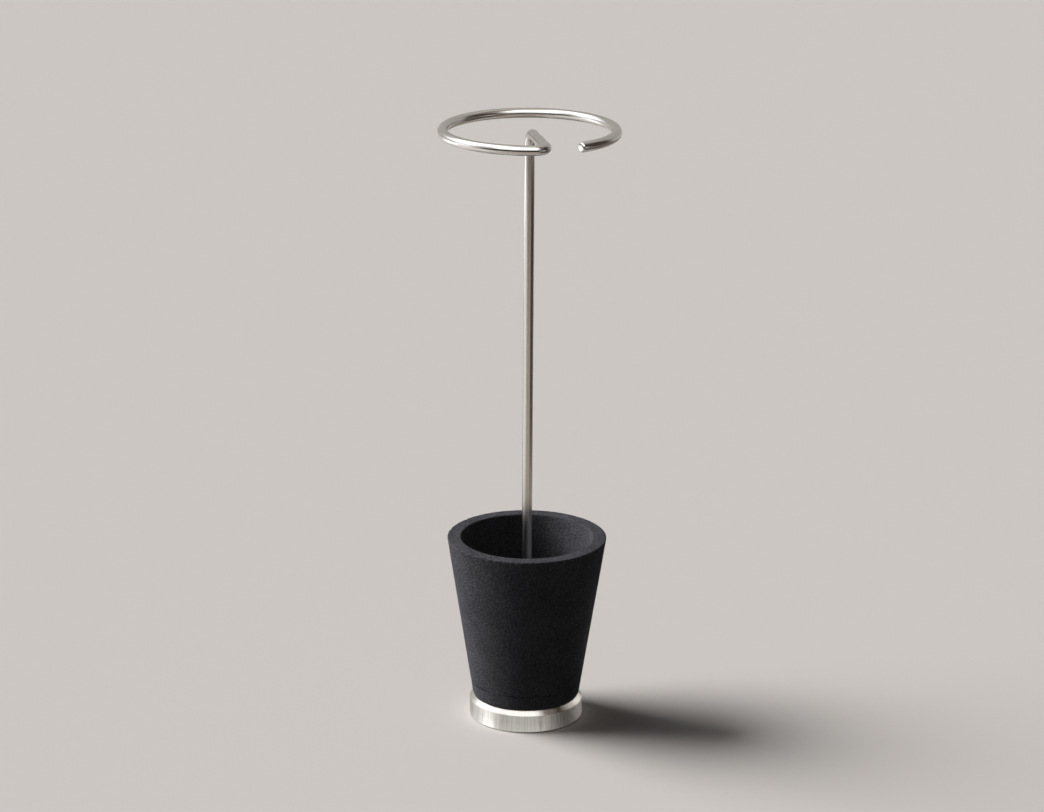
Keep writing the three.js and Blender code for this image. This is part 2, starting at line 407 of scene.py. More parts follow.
@dataclass(frozen=True)
class MouldedPlastic(Finish):
    """Rubber or nylon, moulded or turned: one colour with a fine dull skin."""

    tint: str = "#1A1A1B"
    roughness: float = 0.75
    skin: float = 0.4 * MM
    skin_depth: float = 0.02 * MM
    cloud: float = 4.8 * MM
    cloud_dark: float = 0.82
    cloud_light: float = 1.15

    def dress(self, tree: Tree) -> dict[str | int, object]:
        """Adds the skin and faint clouds in the colour.

        Args:
            tree: The material's node tree.

        Returns:
            What the shader's inputs take, by name.
        """
        place = add_node(tree, "TexCoord", "Object")
        skin, clouds = (
            add_node(
                tree,
                "TexNoise",
                "Fac",
                {"Vector": place, "Scale": 1 / size, "Detail": 2.0, "Roughness": NOISE_FALL},
            )
            for size in (self.skin, self.cloud)
        )
        stops = [
            (position, tuple(c * shade for c in linear(self.tint)[:3]) + (1.0,))
            for position, shade in ((NOISE_LOW, self.cloud_dark), (NOISE_HIGH, self.cloud_light))
        ]
        return {
            "Base Color": add_node(tree, "ValToRGB", "Color", {"Fac": clouds}, stops),
            "Roughness": self.roughness,
            "Normal": add_node(tree, "Bump", "Normal", {"Height": skin, "Distance": self.skin_depth}),
        }


@dataclass(frozen=True)
class StudioPaint(Finish):
    """Plain matt paint of the floor."""

    tint: str = "#CECAC7"
    bounce: str = "#5E5D5C"  # what it throws back as stray light, kept low so that shaded sides stay deep
    roughness: float = 0.9

    def dress(self, tree: Tree) -> dict[str | int, object]:
        """Gives the paint its two colours.

        Args:
            tree: The material's node tree.

        Returns:
            What the shader's inputs take, by name.
        """
        stops = [(0.0, linear(self.bounce)), (1.0, linear(self.tint))]
        colour = add_node(tree, "ValToRGB", "Color", {"Fac": seen_rays(tree)}, stops)
        return {"Base Color": colour, "Roughness": self.roughness, "Specular IOR Level": 0.0}


@dataclass(frozen=True)
class GlowPaint(Finish):
    """The face of a card that gives off an even, plain light, for the steel to mirror."""

    tint: str = "#FFFFFF"
    glow: float = 1.0

    def dress(self, tree: Tree) -> dict[str | int, object]:
        """Makes the surface give off its light and nothing else.

        Args:
            tree: The material's node tree, which is not used, as the glow needs no pattern.

        Returns:
            What the shader's inputs take, by name.
        """
        return {
            "Base Color": linear("#000000"),
            "Specular IOR Level": 0.0,
            "Emission Color": linear(self.tint),
            "Emission Strength": self.glow,
        }


# ---------- making pieces ----------


@dataclass(frozen=True)
class Corner:
    """A corner of a turned profile, and how its edge is rounded."""

    radius: float
    height: float
    rounding: float = 0.0
    segments: int = 3


def weld(bm: Mesh) -> None:
    """Merges doubles and turns all faces outwards."""
    bmesh.ops.remove_doubles(bm, verts=bm.verts, dist=WELD)
    bmesh.ops.recalc_face_normals(bm, faces=bm.faces)


def round_edges(bm: Mesh, edges: Iterable[Edge], radius: float, segments: int) -> None:
    """Rounds edges.

    Args:
        bm: The mesh that they belong to.
        edges: The edges to round.
        radius: How far the rounding reaches on either side.
        segments: Number of facets across it.
    """
    bmesh.ops.bevel(
        bm,
        geom=list(edges),
        offset=radius,
        offset_type="OFFSET",
        segments=segments,
        profile=0.5,
        affect="EDGES",
        clamp_overlap=True,
        material=-1,
    )


def turn(corners: Sequence[Corner], sides: int) -> Mesh:
    """Turns a profile about the upright axis and rounds its corners.

    Args:
        corners: The profile, in order. It starts and ends on the axis, or is closed on itself.
        sides: Number of sides of the round surfaces.

    Returns:
        A closed mesh with its faces pointing out.
    """
    bm = bmesh.new()
    verts = [bm.verts.new((c.radius, 0.0, c.height)) for c in corners]
    for here, there in zip(verts, verts[1:]):
        bm.edges.new((here, there))
    if corners[0].radius > 0.0:
        bm.edges.new((verts[-1], verts[0]))
    profile = bm.verts[:] + bm.edges[:]
    bmesh.ops.spin(
        bm, geom=profile, cent=ORIGIN, axis=UP, angle=FULL_TURN, steps=sides, use_merge=True
    )
    weld(bm)
    for corner in corners:
        if corner.rounding:
            round_edges(bm, loop_at(bm, corner), corner.rounding, corner.segments)
    return bm


def loop_at(bm: Mesh, corner: Corner) -> list[Edge]:
    """Finds the edges that run round the axis at a corner of the profile.

    Args:
        bm: The turned mesh.
        corner: The corner of its profile.

    Returns:
        The edges.
    """

    def lies_there(vert: Vert) -> bool:
        """Tells whether a vertex is at the corner's radius and height."""
        away = abs(math.hypot(vert.co.x, vert.co.y) - corner.radius)
        return away < NEAR and abs(vert.co.z - corner.height) < NEAR

    there = {v for v in bm.verts if lies_there(v)}
    return [e for e in bm.edges if e.verts[0] in there and e.verts[1] in there]


def cut_long_edges(bm: Mesh, wanted: Callable[[Edge], float]) -> None:
    """Splits edges so that none is longer than the spacing wanted there.

    Args:
        bm: The mesh to cut.
        wanted: Gives the spacing for an edge, or 0 to leave it whole.
    """
    groups: dict[int, list[Edge]] = {}
    for edge in bm.edges:
        spacing = wanted(edge)
        if spacing and edge.calc_length() > spacing:
            groups.setdefault(int(edge.calc_length() / spacing), []).append(edge)
    for cuts, edges in groups.items():
        bmesh.ops.subdivide_edges(bm, edges=edges, cuts=cuts, use_grid_fill=True)


@dataclass
class Piece:
    """What a finished piece is called, stands for, rides on and is made of."""

    name: str
    node: str
    body: Body
    slot: Slot
    finish: Finish

    def finish_mesh(self, bm: Mesh) -> bpy.types.Object:
        """Turns a bmesh into the piece's object, dressed and tied to the frame.

        Args:
            bm: The finished bmesh, which is freed.

        Returns:
            The piece's object.
        """
        mesh = bpy.data.meshes.new(self.name)
        bm.to_mesh(mesh)
        bm.free()
        mesh.shade_smooth()
        mesh.set_sharp_from_angle(angle=SMOOTH_BELOW)
        piece = bpy.data.objects.new(self.name, mesh)
        bpy.context.scene.collection.objects.link(piece)
        piece.data.materials.append(self.finish.make())
        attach(piece, self.body.value)
        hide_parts(self.node)
        log.info("%s: %d faces on %s", self.name, len(mesh.polygons), self.body.value)
        return piece


def cut_with(piece: bpy.types.Object, tool: Mesh, cut: Cut = Cut.TAKE_AWAY) -> None:
    """Cuts or joins a piece with a tool's mesh and keeps the result as the piece's mesh.

    Args:
        piece: The object to change.
        tool: The closed mesh of the tool, which is freed.
        cut: What the tool does to the piece.
    """
    mesh = bpy.data.meshes.new("tool")
    tool.to_mesh(mesh)
    tool.free()
    helper = bpy.data.objects.new("tool", mesh)
    bpy.context.scene.collection.objects.link(helper)
    modifier = piece.modifiers.new("tool", "BOOLEAN")
    modifier.operation = cut.value
    modifier.solver = "EXACT"
    modifier.object = helper
    depsgraph = bpy.context.evaluated_depsgraph_get()
    result = bpy.data.meshes.new_from_object(piece.evaluated_get(depsgraph))
    piece.modifiers.remove(modifier)
    joined = bmesh.new()
    joined.from_mesh(result)
    weld(joined)
    joined.to_mesh(result)
    joined.free()
    old = piece.data
    piece.data = result
    piece.data.name = piece.name
    bpy.data.meshes.remove(old)
    bpy.data.objects.remove(helper)
    bpy.data.meshes.remove(mesh)


def rod(radius: float, length: float, sides: int, middle: Vector) -> Mesh:
    """Makes a plain rod lying along X, as a tool for cross holes.

    Args:
        radius: Its radius.
        length: Its length.
        sides: Number of its sides.
        middle: Where its middle is.

    Returns:
        The closed rod.
    """
    bm = bmesh.new()
    at = Matrix.Translation(middle) @ Matrix.Rotation(QUARTER_TURN, 4, "Y")
    bmesh.ops.create_cone(
        bm, cap_ends=True, segments=sides, radius1=radius, radius2=radius, depth=length, matrix=at
    )
    return bm


# ---------- the bent bar ----------


class BarSweep:
    """A round bar drawn out along straights and bends.

    Each vertex keeps its place in the round section and its distance along the bar, so that a finish can
    follow the bar through its bends.
    """

    end_smear: float = 0.05  # how much of the bar's direction is turned upwards

    def __init__(self, radius: float, sides: int, bottom: float) -> None:
        """Starts with a closed round face at the bar's lower end.

        Args:
            radius: The bar's radius.
            sides: Number of sides of its section.
            bottom: Height of its lower end.
        """
        self.bm = bmesh.new()
        self.track = self.bm.verts.layers.float_vector.new(TRACK)
        self.along = self.bm.verts.layers.float_vector.new(ALONG)
        self.run = 0.0
        at = Matrix.Translation(UP * bottom)
        made = bmesh.ops.create_circle(self.bm, cap_ends=True, radius=radius, segments=sides, matrix=at)
        for vert in made["verts"]:
            vert[self.track] = Vector((vert.co.x, vert.co.y, self.run))
        self.first = self.bm.edges[:]
        self.last = self.bm.edges[:]

    def mark(self, geometry: Sequence, advance: float) -> None:
        """Takes the newest loop as the bar's end and writes its distance along the bar.

        Args:
            geometry: What the last operator made, with the new loop in it.
            advance: How much longer the bar became.
        """
        self.run += advance
        loop = {g for g in geometry if isinstance(g, Vert)}
        for vert in loop:
            place = vert[self.track]
            vert[self.track] = Vector((place.x, place.y, self.run))
        edges = (g for g in geometry if isinstance(g, Edge))
        self.last = [e for e in edges if e.verts[0] in loop and e.verts[1] in loop]

    def straight(self, direction: Vector, length: float) -> None:
        """Draws the bar straight on.

        Args:
            direction: The way it goes.
            length: How far it goes.
        """
        grown = bmesh.ops.extrude_edge_only(self.bm, edges=self.last)["geom"]
        verts = [g for g in grown if isinstance(g, Vert)]
        bmesh.ops.translate(self.bm, verts=verts, vec=direction * length)
        self.mark(grown, length)

    def bend(self, centre: Vector, axis: Vector, radius: float, angle: float, steps: int) -> None:
        """Bends the bar round an axis.

        Args:
            centre: A point on the axis.
            axis: The axis that the bar turns about.
            radius: Radius of the bend at the bar's middle.
            angle: How far it bends.
            steps: Number of straight steps in the bend.
        """
        for _ in range(steps):
            verts = list({v for e in self.last for v in e.verts})
            spun = bmesh.ops.spin(
                self.bm,
                geom=verts + self.last,
                cent=centre,
                axis=axis,
                angle=angle / steps,
                steps=1,
                use_merge=False,
            )
            self.mark(spun["geom_last"], radius * abs(angle) / steps)

    def point_along(self) -> None:
        """Writes the bar's direction at each vertex.

        It is turned a little upwards, so that a reflection smears on an end face too.
        """
        for vert in self.bm.verts:
            way = Vector()
            for edge in vert.link_edges:
                there = edge.other_vert(vert)
                way += (there.co - vert.co) * (there[self.track].z - vert[self.track].z)
            vert[self.along] = way.normalized() + UP * self.end_smear

    def close(self, rounding: float, segments: int) -> Mesh:
        """Closes the end with a flat face and rounds the edges of both ends.

        Args:
            rounding: Radius of the rounding.
            segments: Number of facets across it.

        Returns:
            The bar's mesh.
        """
        self.point_along()
        bmesh.ops.contextual_create(self.bm, geom=self.last)
        bmesh.ops.recalc_face_normals(self.bm, faces=self.bm.faces)
        round_edges(self.bm, self.first + self.last, rounding, segments)
        return self.bm


@dataclass
class BentBar:
    """The upright, the spoke and the open ring, bent from one round bar."""

    diameter: float = 10 * MM
    top_bend: float = 16 * MM
    corner_bend: float = 12 * MM
    end_angle: float = math.radians(22.5)
    end_rounding: float = 2.0 * MM
    end_segments: int = 7
    sides: int = 56
    ring_step: float = math.radians(1.5)
    bend_steps: int = 20
    finish: Finish = PolishedBar("polished_stainless_bar")

    def build(self, pin: "CrossPin") -> bpy.types.Object:
        """Draws the bar from its socket round to the ring's free end.

        Args:
            pin: The pin that goes through the bar's foot.

        Returns:
            The bar's object.
        """
        low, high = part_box("upright_bar")
        radius = self.diameter / 2
        ring_height = high.z - radius
        ring_radius = high.x - radius
        sweep = BarSweep(radius, self.sides, low.z)
        sweep.straight(UP, ring_height - self.top_bend - low.z)
        centre = Vector((0.0, -self.top_bend, ring_height - self.top_bend))
        sweep.bend(centre, RIGHT, self.top_bend, QUARTER_TURN, self.bend_steps)
        self.add_ring(sweep, ring_height, ring_radius)
        piece = Piece("bent_bar", "upright_bar", Body.UPRIGHT, Slot.BAR, self.finish)
        bar = piece.finish_mesh(sweep.close(self.end_rounding, self.end_segments))
        cut_with(bar, pin.drill())
        return bar

    def add_ring(self, sweep: BarSweep, height: float, radius: float) -> None:
        """Adds the spoke, the corner into the ring and the ring up to its free end.

        Args:
            sweep: The bar so far, ending where the spoke starts.
            height: Height of the ring's middle line.
            radius: Radius of the ring's middle line.
        """
        reach = radius - self.corner_bend
        lean = math.asin(self.corner_bend / reach)
        corner = Vector((-self.corner_bend, -reach * math.cos(lean), height))
        sweep.straight(FORWARD, -corner.y - self.top_bend)
        sweep.bend(corner, -UP, self.corner_bend, QUARTER_TURN + lean, self.bend_steps)
        way_round = FULL_TURN - self.end_angle - lean
        sweep.bend(UP * height, -UP, radius, way_round, round(way_round / self.ring_step))


# ---------- the foot of the bar ----------


@dataclass
class CrossPin:
    """The spring pin through the foot fitting and the bar, rolled from strip with a slot along it."""

    diameter: float = 3 * MM
    wall: float = 0.6 * MM
    slot_angle: float = math.radians(32)
    end_taper: float = 0.35 * MM
    clearance: float = 0.12 * MM
    drill_reach: float = 2.5  # length of the drill for it, in pins
    sides: int = 28
    finish: Finish = TurnedSteel("spring_steel_pin", tint="#A9A8A6", roughness=0.35)

    def drill(self) -> Mesh:
        """Makes the hole that the pin needs.

        Returns:
            The hole as a closed rod.
        """
        low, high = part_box("cross_pin")
        length = self.drill_reach * (high.x - low.x)
        return rod(self.diameter / 2 + self.clearance, length, self.sides, (low + high) / 2)

    def build(self) -> bpy.types.Object:
        """Rolls the strip round the pin's axis and tapers both ends.

        Returns:
            The pin's object.
        """
        low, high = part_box("cross_pin")
        middle = (low + high) / 2
        outer = self.diameter / 2
        bm = bmesh.new()
        corners = [
            (low.x, outer - self.wall),
            (low.x, outer - self.end_taper),
            (low.x + self.end_taper, outer),
            (high.x - self.end_taper, outer),
            (high.x, outer - self.end_taper),
            (high.x, outer - self.wall),
        ]
        verts = [bm.verts.new((x, middle.y, middle.z - radius)) for x, radius in corners]
        section = [bm.faces.new(verts)]
        half_slot = Matrix.Rotation(self.slot_angle / 2, 3, "X")
        bmesh.ops.rotate(bm, verts=verts, cent=middle, matrix=half_slot)
        rolled = FULL_TURN - self.slot_angle
        bmesh.ops.spin(bm, geom=section, cent=middle, axis=RIGHT, angle=rolled, steps=self.sides)
        weld(bm)
        piece = Piece("roll_pin", "cross_pin", Body.UPRIGHT, Slot.FITTING, self.finish)
        return piece.finish_mesh(bm)


@dataclass
class FootFitting:
    """The hub that holds the bar, its clamping flange and the threaded spigot, turned from one piece."""

    bar_diameter: float = 10 * MM
    socket_clearance: float = 0.15 * MM
    socket_depth: float = 14 * MM
    socket_edge: float = 0.3 * MM
    drill_point: float = 0.3  # depth of the socket's conical floor, in socket radii
    hub_radius: float = 9 * MM
    hub_height: float = 16 * MM
    hub_fillet: float = 0.9 * MM
    edge: float = 0.8 * MM
    relief_radius: float = 4.3 * MM
    relief_fillet: float = 0.3 * MM
    run_out: float = 0.6 * MM  # from the washer down to the thread
    core_step: float = 0.1 * MM  # how much thinner the core is than the thread's root
    core_length: float = 3.0 * MM  # how far the core reaches into the thread
    pitch: float = 1.5 * MM
    thread_depth: float = 0.92 * MM
    flank_angle: float = math.radians(30)
    crest: float = 0.19 * MM
    spare_teeth: int = 3  # turned past the thread's ends and cut away
    sides: int = 96
    thread_sides: int = 48
    finish: Finish = TurnedSteel("turned_stainless_fitting", roughness=0.3, tint="#BDBBB6")

    def build(self, pin: CrossPin) -> bpy.types.Object:
        """Turns the fitting, adds its thread and drills it for the pin.

        Args:
            pin: The pin that goes through the hub.

        Returns:
            The fitting's object.
        """
        low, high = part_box("foot_fitting")
        washer_low, washer_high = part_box("clamp_washer")
        flange_top = high.z - self.hub_height
        socket = self.bar_diameter / 2 + self.socket_clearance
        socket_floor = high.z - self.socket_depth
        core = self.bar_diameter / 2 - self.thread_depth - self.core_step
        core_tip = washer_low.z - self.core_length
        thread_top = washer_low.z - self.run_out
        corners = [
            Corner(0.0, core_tip),
            Corner(core, core_tip),
            Corner(core, thread_top),
            Corner(self.relief_radius, thread_top + self.core_step),
            Corner(self.relief_radius, washer_high.z, self.relief_fillet),
            Corner(high.x, washer_high.z, self.edge),
            Corner(high.x, flange_top, self.edge),
            Corner(self.hub_radius, flange_top, self.hub_fillet),
            Corner(self.hub_radius, high.z, self.edge),
            Corner(socket, high.z, self.socket_edge),
            Corner(socket, socket_floor),
            Corner(0.0, socket_floor - self.drill_point * socket),
        ]
        piece = Piece("threaded_foot", "foot_fitting", Body.UPRIGHT, Slot.FITTING, self.finish)
        fitting = piece.finish_mesh(turn(corners, self.sides))
        cut_with(fitting, self.thread(low.z, thread_top), Cut.JOIN)
        cut_with(fitting, pin.drill())
        fitting.data.shade_smooth()
        fitting.data.set_sharp_from_angle(angle=SMOOTH_BELOW)
        return fitting

    def thread(self, bottom: float, top: float) -> Mesh:
        """Makes the spigot's screw thread between two heights.

        The profile of a few teeth is turned once while it rises by one pitch, so that each tooth runs on
        into the next. The ends are then cut flat and closed.

        Args:
            bottom: Height of the spigot's tip.
            top: Height at which the thread ends.

        Returns:
            The closed thread.
        """
        major = self.bar_diameter / 2
        root = major - self.thread_depth
        flank = self.thread_depth * math.tan(self.flank_angle)
        root_flat = self.pitch - self.crest - 2 * flank
        bm = bmesh.new()
        verts = []
        teeth = math.ceil((top - bottom) / self.pitch) + self.spare_teeth
        start = bottom - (self.spare_teeth - 1) * self.pitch
        for _ in range(teeth):
            for radius, rise in ((root, 0.0), (root, root_flat), (major, flank), (major, self.crest)):
                start += rise
                verts.append(bm.verts.new((radius, 0.0, start)))
            start += flank
        verts.append(bm.verts.new((root, 0.0, start)))
        for here, there in zip(verts, verts[1:]):
            bm.edges.new((here, there))
        bmesh.ops.spin(
            bm,
            geom=bm.verts[:] + bm.edges[:],
            cent=ORIGIN,
            axis=UP,
            angle=FULL_TURN,
            dvec=UP * (self.pitch / self.thread_sides),
            steps=self.thread_sides,
            use_merge=False,
        )
        bmesh.ops.remove_doubles(bm, verts=bm.verts, dist=NEAR)
        for height, keep_above in ((bottom, True), (top, False)):
            bmesh.ops.bisect_plane(
                bm,
                geom=bm.verts[:] + bm.edges[:] + bm.faces[:],
                plane_co=UP * height,
                plane_no=UP,
                clear_inner=keep_above,
                clear_outer=not keep_above,
            )
        bmesh.ops.holes_fill(bm, edges=[e for e in bm.edges if e.is_boundary])
        weld(bm)
        return bm


# ---------- the captive washer and its seal ----------


@dataclass
class ClampWasher:
    """The steel washer that is held captive under the flange, and the rubber seal bonded under it."""

    washer_bore: float = 4.6 * MM
    seal_bore: float = 5.3 * MM
    washer_edge: float = 0.35 * MM
    seal_edge: float = 0.6 * MM
    sides: int = 96
    steel: Finish = TurnedSteel("pressed_stainless_washer", roughness=0.33, tint="#B4B2AE")
    rubber: Finish = MouldedPlastic("bonded_rubber_seal", tint="#1C1C1D")

    def build(self) -> list[bpy.types.Object]:
        """Makes the washer and the seal.

        Returns:
            Both pieces.
        """
        washer = Piece("captive_washer", "clamp_washer", Body.CLAMP, Slot.FITTING, self.steel)
        seal = Piece("bonded_seal", "clamp_seal", Body.CLAMP, Slot.RUBBER, self.rubber)
        return [
            washer.finish_mesh(ring_like(washer.node, self.washer_bore, self.washer_edge, self.sides)),
            seal.finish_mesh(ring_like(seal.node, self.seal_bore, self.seal_edge, self.sides)),
        ]


def ring_like(node: str, bore: float, edge: float, sides: int) -> Mesh:
    """Turns a flat ring of a node's outer size.

    Args:
        node: The node that gives its diameter and both heights.
        bore: Radius of its hole.
        edge: Radius of its rounded edges.
        sides: Number of its sides.

    Returns:
        The closed ring.
    """
    low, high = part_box(node)
    ends = ((bore, low.z), (high.x, low.z), (high.x, high.z), (bore, high.z))
    return turn([Corner(radius, height, edge) for radius, height in ends], sides)


# ---------- the pot and what it stands on ----------


@dataclass
class CastPot:
    """The cast pot, with its uneven granular face, its worn rim and the faint joint near its foot."""

    wall: float = 13.8 * MM
    floor: float = 16 * MM
    foot_radius: float = 53 * MM
    rim_radius: float = 78.8 * MM
    hole_radius: float = 7.9 * MM
    hole_edge: float = 0.5 * MM
    foot_edge: float = 1.5 * MM
    rim_edge: float = 1.2 * MM
    inner_fillet: float = 8 * MM
    hole_facets: int = 2
    edge_facets: int = 4
    fillet_facets: int = 7
    sides: int = 440
    outer_spacing: float = 1.45 * MM
    inner_spacing: float = 2.3 * MM
    plain_margin: float = 0.1 * MM  # round the hole, where edges stay whole
    even_foot: float = 0.3 * MM  # above the underside, where the surface stays even
    even_margin: float = 0.6 * MM  # and round the hole
    broad_size: float = 34 * MM
    broad_depth: float = 0.12 * MM
    grain_size: float = 2.4 * MM
    grain_depth: float = 0.16 * MM
    joint_height: float = 14.5 * MM
    joint_depth: float = 0.4 * MM
    joint_width: float = 0.9 * MM
    joint_wander: float = 1.6 * MM
    wander_waves: float = 4.0
    wander_level: float = 0.3  # height of the noise's slice that the wander follows
    fade_waves: float = 5.0
    fade_contrast: float = 1.6
    faintest: float = 0.1  # brightness of the joint's line where it is darkest
    chips: int = 34
    chip_radius: tuple[float, float] = (1.2 * MM, 2.5 * MM)
    chip_out: tuple[float, float] = (-0.2, 0.35)  # how far outside the rim a chip lies, in its radii
    chip_down: tuple[float, float] = (-0.1, 0.9)  # how far below the top it lies, in millimetres
    chip_slope: float = 0.6
    chipped_zone: float = 4 * MM  # no chip reaches further from the rim's outer edge
    worn_side: float = math.radians(-128)
    worn_spread: float = math.radians(32)
    seed: int = 7
    finish: Finish = CastStone("black_cast_stone")
    chip_places: list[tuple[Vector, float]] = field(default_factory=list)

    def build(self) -> bpy.types.Object:
        """Turns the pot, cuts its faces fine and gives them their unevenness.

        Returns:
            The pot's object.
        """
        low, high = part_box("pot")
        lean = (self.rim_radius - self.foot_radius) / (high.z - low.z)
        floor_top = low.z + self.floor
        floor_radius = self.foot_radius + lean * self.floor - self.wall
        corners = [
            Corner(self.hole_radius, low.z),
            Corner(self.foot_radius, low.z, self.foot_edge, self.edge_facets),
            Corner(self.rim_radius, high.z, self.rim_edge, self.edge_facets),
            Corner(self.rim_radius - self.wall, high.z, self.rim_edge, self.edge_facets),
            Corner(floor_radius, floor_top, self.inner_fillet, self.fillet_facets),
            Corner(self.hole_radius, floor_top, self.hole_edge, self.hole_facets),
        ]
        bm = turn(corners, self.sides)
        cut_long_edges(bm, lambda edge: self.spacing(edge, low.z, lean))
        self.place_chips(high.z)
        self.weather(bm, low.z, high.z)
        return Piece("cast_pot", "pot", Body.FOOT, Slot.POT, self.finish).finish_mesh(bm)

    def spacing(self, edge: Edge, bottom: float, lean: float) -> float:
        """Gives how finely an edge is cut: finer outside the pot than inside it.

        Args:
            edge: The edge.
            bottom: Height of the pot's underside.
            lean: How much the wall's radius grows with height.

        Returns:
            The spacing, or 0 under the pot and in its hole, where the edge stays whole.
        """
        middle = (edge.verts[0].co + edge.verts[1].co) / 2
        radius = math.hypot(middle.x, middle.y)
        if middle.z < bottom + WELD or radius < self.hole_radius + self.plain_margin:
            return 0.0
        inside_wall = self.foot_radius + lean * (middle.z - bottom) - self.wall / 2
        return self.outer_spacing if radius > inside_wall else self.inner_spacing

    def place_chips(self, top: float) -> None:
        """Scatters the small chips along the rim's outer edge, two in three of them on its worn side.

        Args:
            top: Height of the rim.
        """
        dice = random.Random(self.seed)
        for number in range(self.chips):
            if number % 3:
                angle = dice.gauss(self.worn_side, self.worn_spread)
            else:
                angle = dice.uniform(0.0, FULL_TURN)
            size = dice.uniform(*self.chip_radius)
            radius = self.rim_radius + dice.uniform(*self.chip_out) * size
            height = top - dice.uniform(*self.chip_down) * MM
            place = Vector((radius * math.cos(angle), radius * math.sin(angle), height))
            self.chip_places.append((place, size))

    def weather(self, bm: Mesh, bottom: float, top: float) -> None:
        """Pushes the surface in, never out, by its unevenness, its chips and the joint near the foot.

        Args:
            bm: The pot's fine mesh.
            bottom: Height of the pot's underside.
            top: Height of the rim.
        """
        bm.normal_update()
        moves = []
        seam = bm.verts.layers.float_vector.new(SEAM)
        for vert in bm.verts:
            radius = math.hypot(vert.co.x, vert.co.y)
            away, brightness = self.seam_at(vert.co, bottom, radius)
            vert[seam] = Vector((away, brightness, 0.0))
            if vert.co.z < bottom + self.even_foot or radius < self.hole_radius + self.even_margin:
                continue
            depth = self.joint_depth * (1.0 - brightness) * math.exp(-((away / self.joint_width) ** 2))
            for size, most in ((self.broad_size, self.broad_depth), (self.grain_size, self.grain_depth)):
                depth += most * (0.5 + 0.5 * noise.noise(vert.co / size))
            if vert.co.z > top - self.chipped_zone and radius > self.rim_radius - self.chipped_zone:
                depth += self.chip(vert.co)
            moves.append((vert, vert.normal * -depth))
        for vert, move in moves:
            vert.co += move

    def seam_at(self, place: Vector, bottom: float, radius: float) -> tuple[float, float]:
        """Places a point against the joint between two pours, which wanders and fades round the pot.

        Args:
            place: The point.
            bottom: Height of the pot's underside.
            radius: The point's distance from the axis.

        Returns:
            How far the point is above or below the joint, and how bright the joint is there, 1 where
            it is lost.
        """
        if radius < self.foot_radius:
            return self.joint_height, 1.0
        around = Vector((place.x, place.y, 0.0)).normalized()
        wander = noise.noise(around * self.wander_waves + UP * self.wander_level) * self.joint_wander
        away = abs(place.z - bottom - self.joint_height - wander)
        strength = 0.5 + self.fade_contrast * noise.noise((around + UP) * self.fade_waves)
        return away, min(1.0, max(self.faintest, 1.0 - strength))

    def chip(self, place: Vector) -> float:
        """Gives the depth of the chips at a place.

        Args:
            place: A point near the rim's outer edge.

        Returns:
            The depth, or 0 where there is no chip.
        """
        depth = 0.0
        for middle, size in self.chip_places:
            depth = max(depth, self.chip_slope * (size - (place - middle).length))
        return depth


@dataclass
class Base:
    """The turned disc, its non-slip pad, the gasket under the pot and the bush in the pot's hole."""

    disc_chamfer: float = 4.2 * MM
    disc_edge: float = 0.35 * MM
    lower_edge: float = 0.6 * MM
    tapped_radius: float = 5.15 * MM
    tapped_edge: float = 0.6 * MM
    recess_edge: float = 0.25 * MM
    recess_fillet: float = 0.2 * MM
    pad_clearance: float = 0.3 * MM
    pad_edge: float = 0.35 * MM
    passage_radius: float = 5.3 * MM
    gasket_edge: float = 0.25 * MM
    bush_edge: float = 0.5 * MM
    sides: int = 256
    bush_sides: int = 96
    steel: Finish = TurnedSteel("turned_and_brushed_stainless")
    rubber: Finish = MouldedPlastic("moulded_rubber_pad", tint="#19191A", roughness=0.8)
    gasket: Finish = MouldedPlastic("cut_rubber_gasket", tint="#161617", roughness=0.7)
    nylon: Finish = MouldedPlastic("turned_natural_nylon", tint="#DAD7CD", roughness=0.5)

    def build(self) -> list[bpy.types.Object]:
        """Makes the disc, the pad, the gasket and the bush.

        Returns:
            The four pieces.
        """
        gasket = ring_like("seat_gasket", self.passage_radius, self.gasket_edge, self.sides)
        bush = ring_like("pot_bush", self.passage_radius, self.bush_edge, self.bush_sides)
        rows = [
            ("turned_disc", "base_disc", Slot.DISC, self.steel, self.disc()),
            ("non_slip_pad", "floor_pad", Slot.RUBBER, self.rubber, self.pad()),
            ("foot_gasket", "seat_gasket", Slot.RUBBER, self.gasket, gasket),
            ("nylon_bush", "pot_bush", Slot.NYLON, self.nylon, bush),
        ]
        return [
            Piece(name, node, Body.FOOT, slot, finish).finish_mesh(bm)
            for name, node, slot, finish, bm in rows
        ]

    def disc(self) -> Mesh:
        """Turns the disc with its chamfer, its recess and its tapped hole.

        Returns:
            The closed disc.
        """
        low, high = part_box("base_disc")
        pad_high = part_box("floor_pad")[1]
        recess = pad_high.x + self.pad_clearance
        corners = [
            Corner(recess, low.z, self.recess_edge),
            Corner(high.x, low.z, self.lower_edge),
            Corner(high.x, high.z - self.disc_chamfer, self.disc_edge),
            Corner(high.x - self.disc_chamfer, high.z, self.disc_edge),
            Corner(self.tapped_radius, high.z, self.tapped_edge),
            Corner(self.tapped_radius, pad_high.z, self.tapped_edge),
            Corner(recess, pad_high.z, self.recess_fillet),
        ]
        return turn(corners, self.sides)

    def pad(self) -> Mesh:
        """Turns the pad that the disc stands on.

        Returns:
            The closed pad.
        """
        low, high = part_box("floor_pad")
        corners = [
            Corner(0.0, low.z),
            Corner(high.x, low.z, self.pad_edge),
            Corner(high.x, high.z, self.pad_edge),
            Corner(0.0, high.z),
        ]
        return turn(corners, self.sides)


# ---------- the set ----------


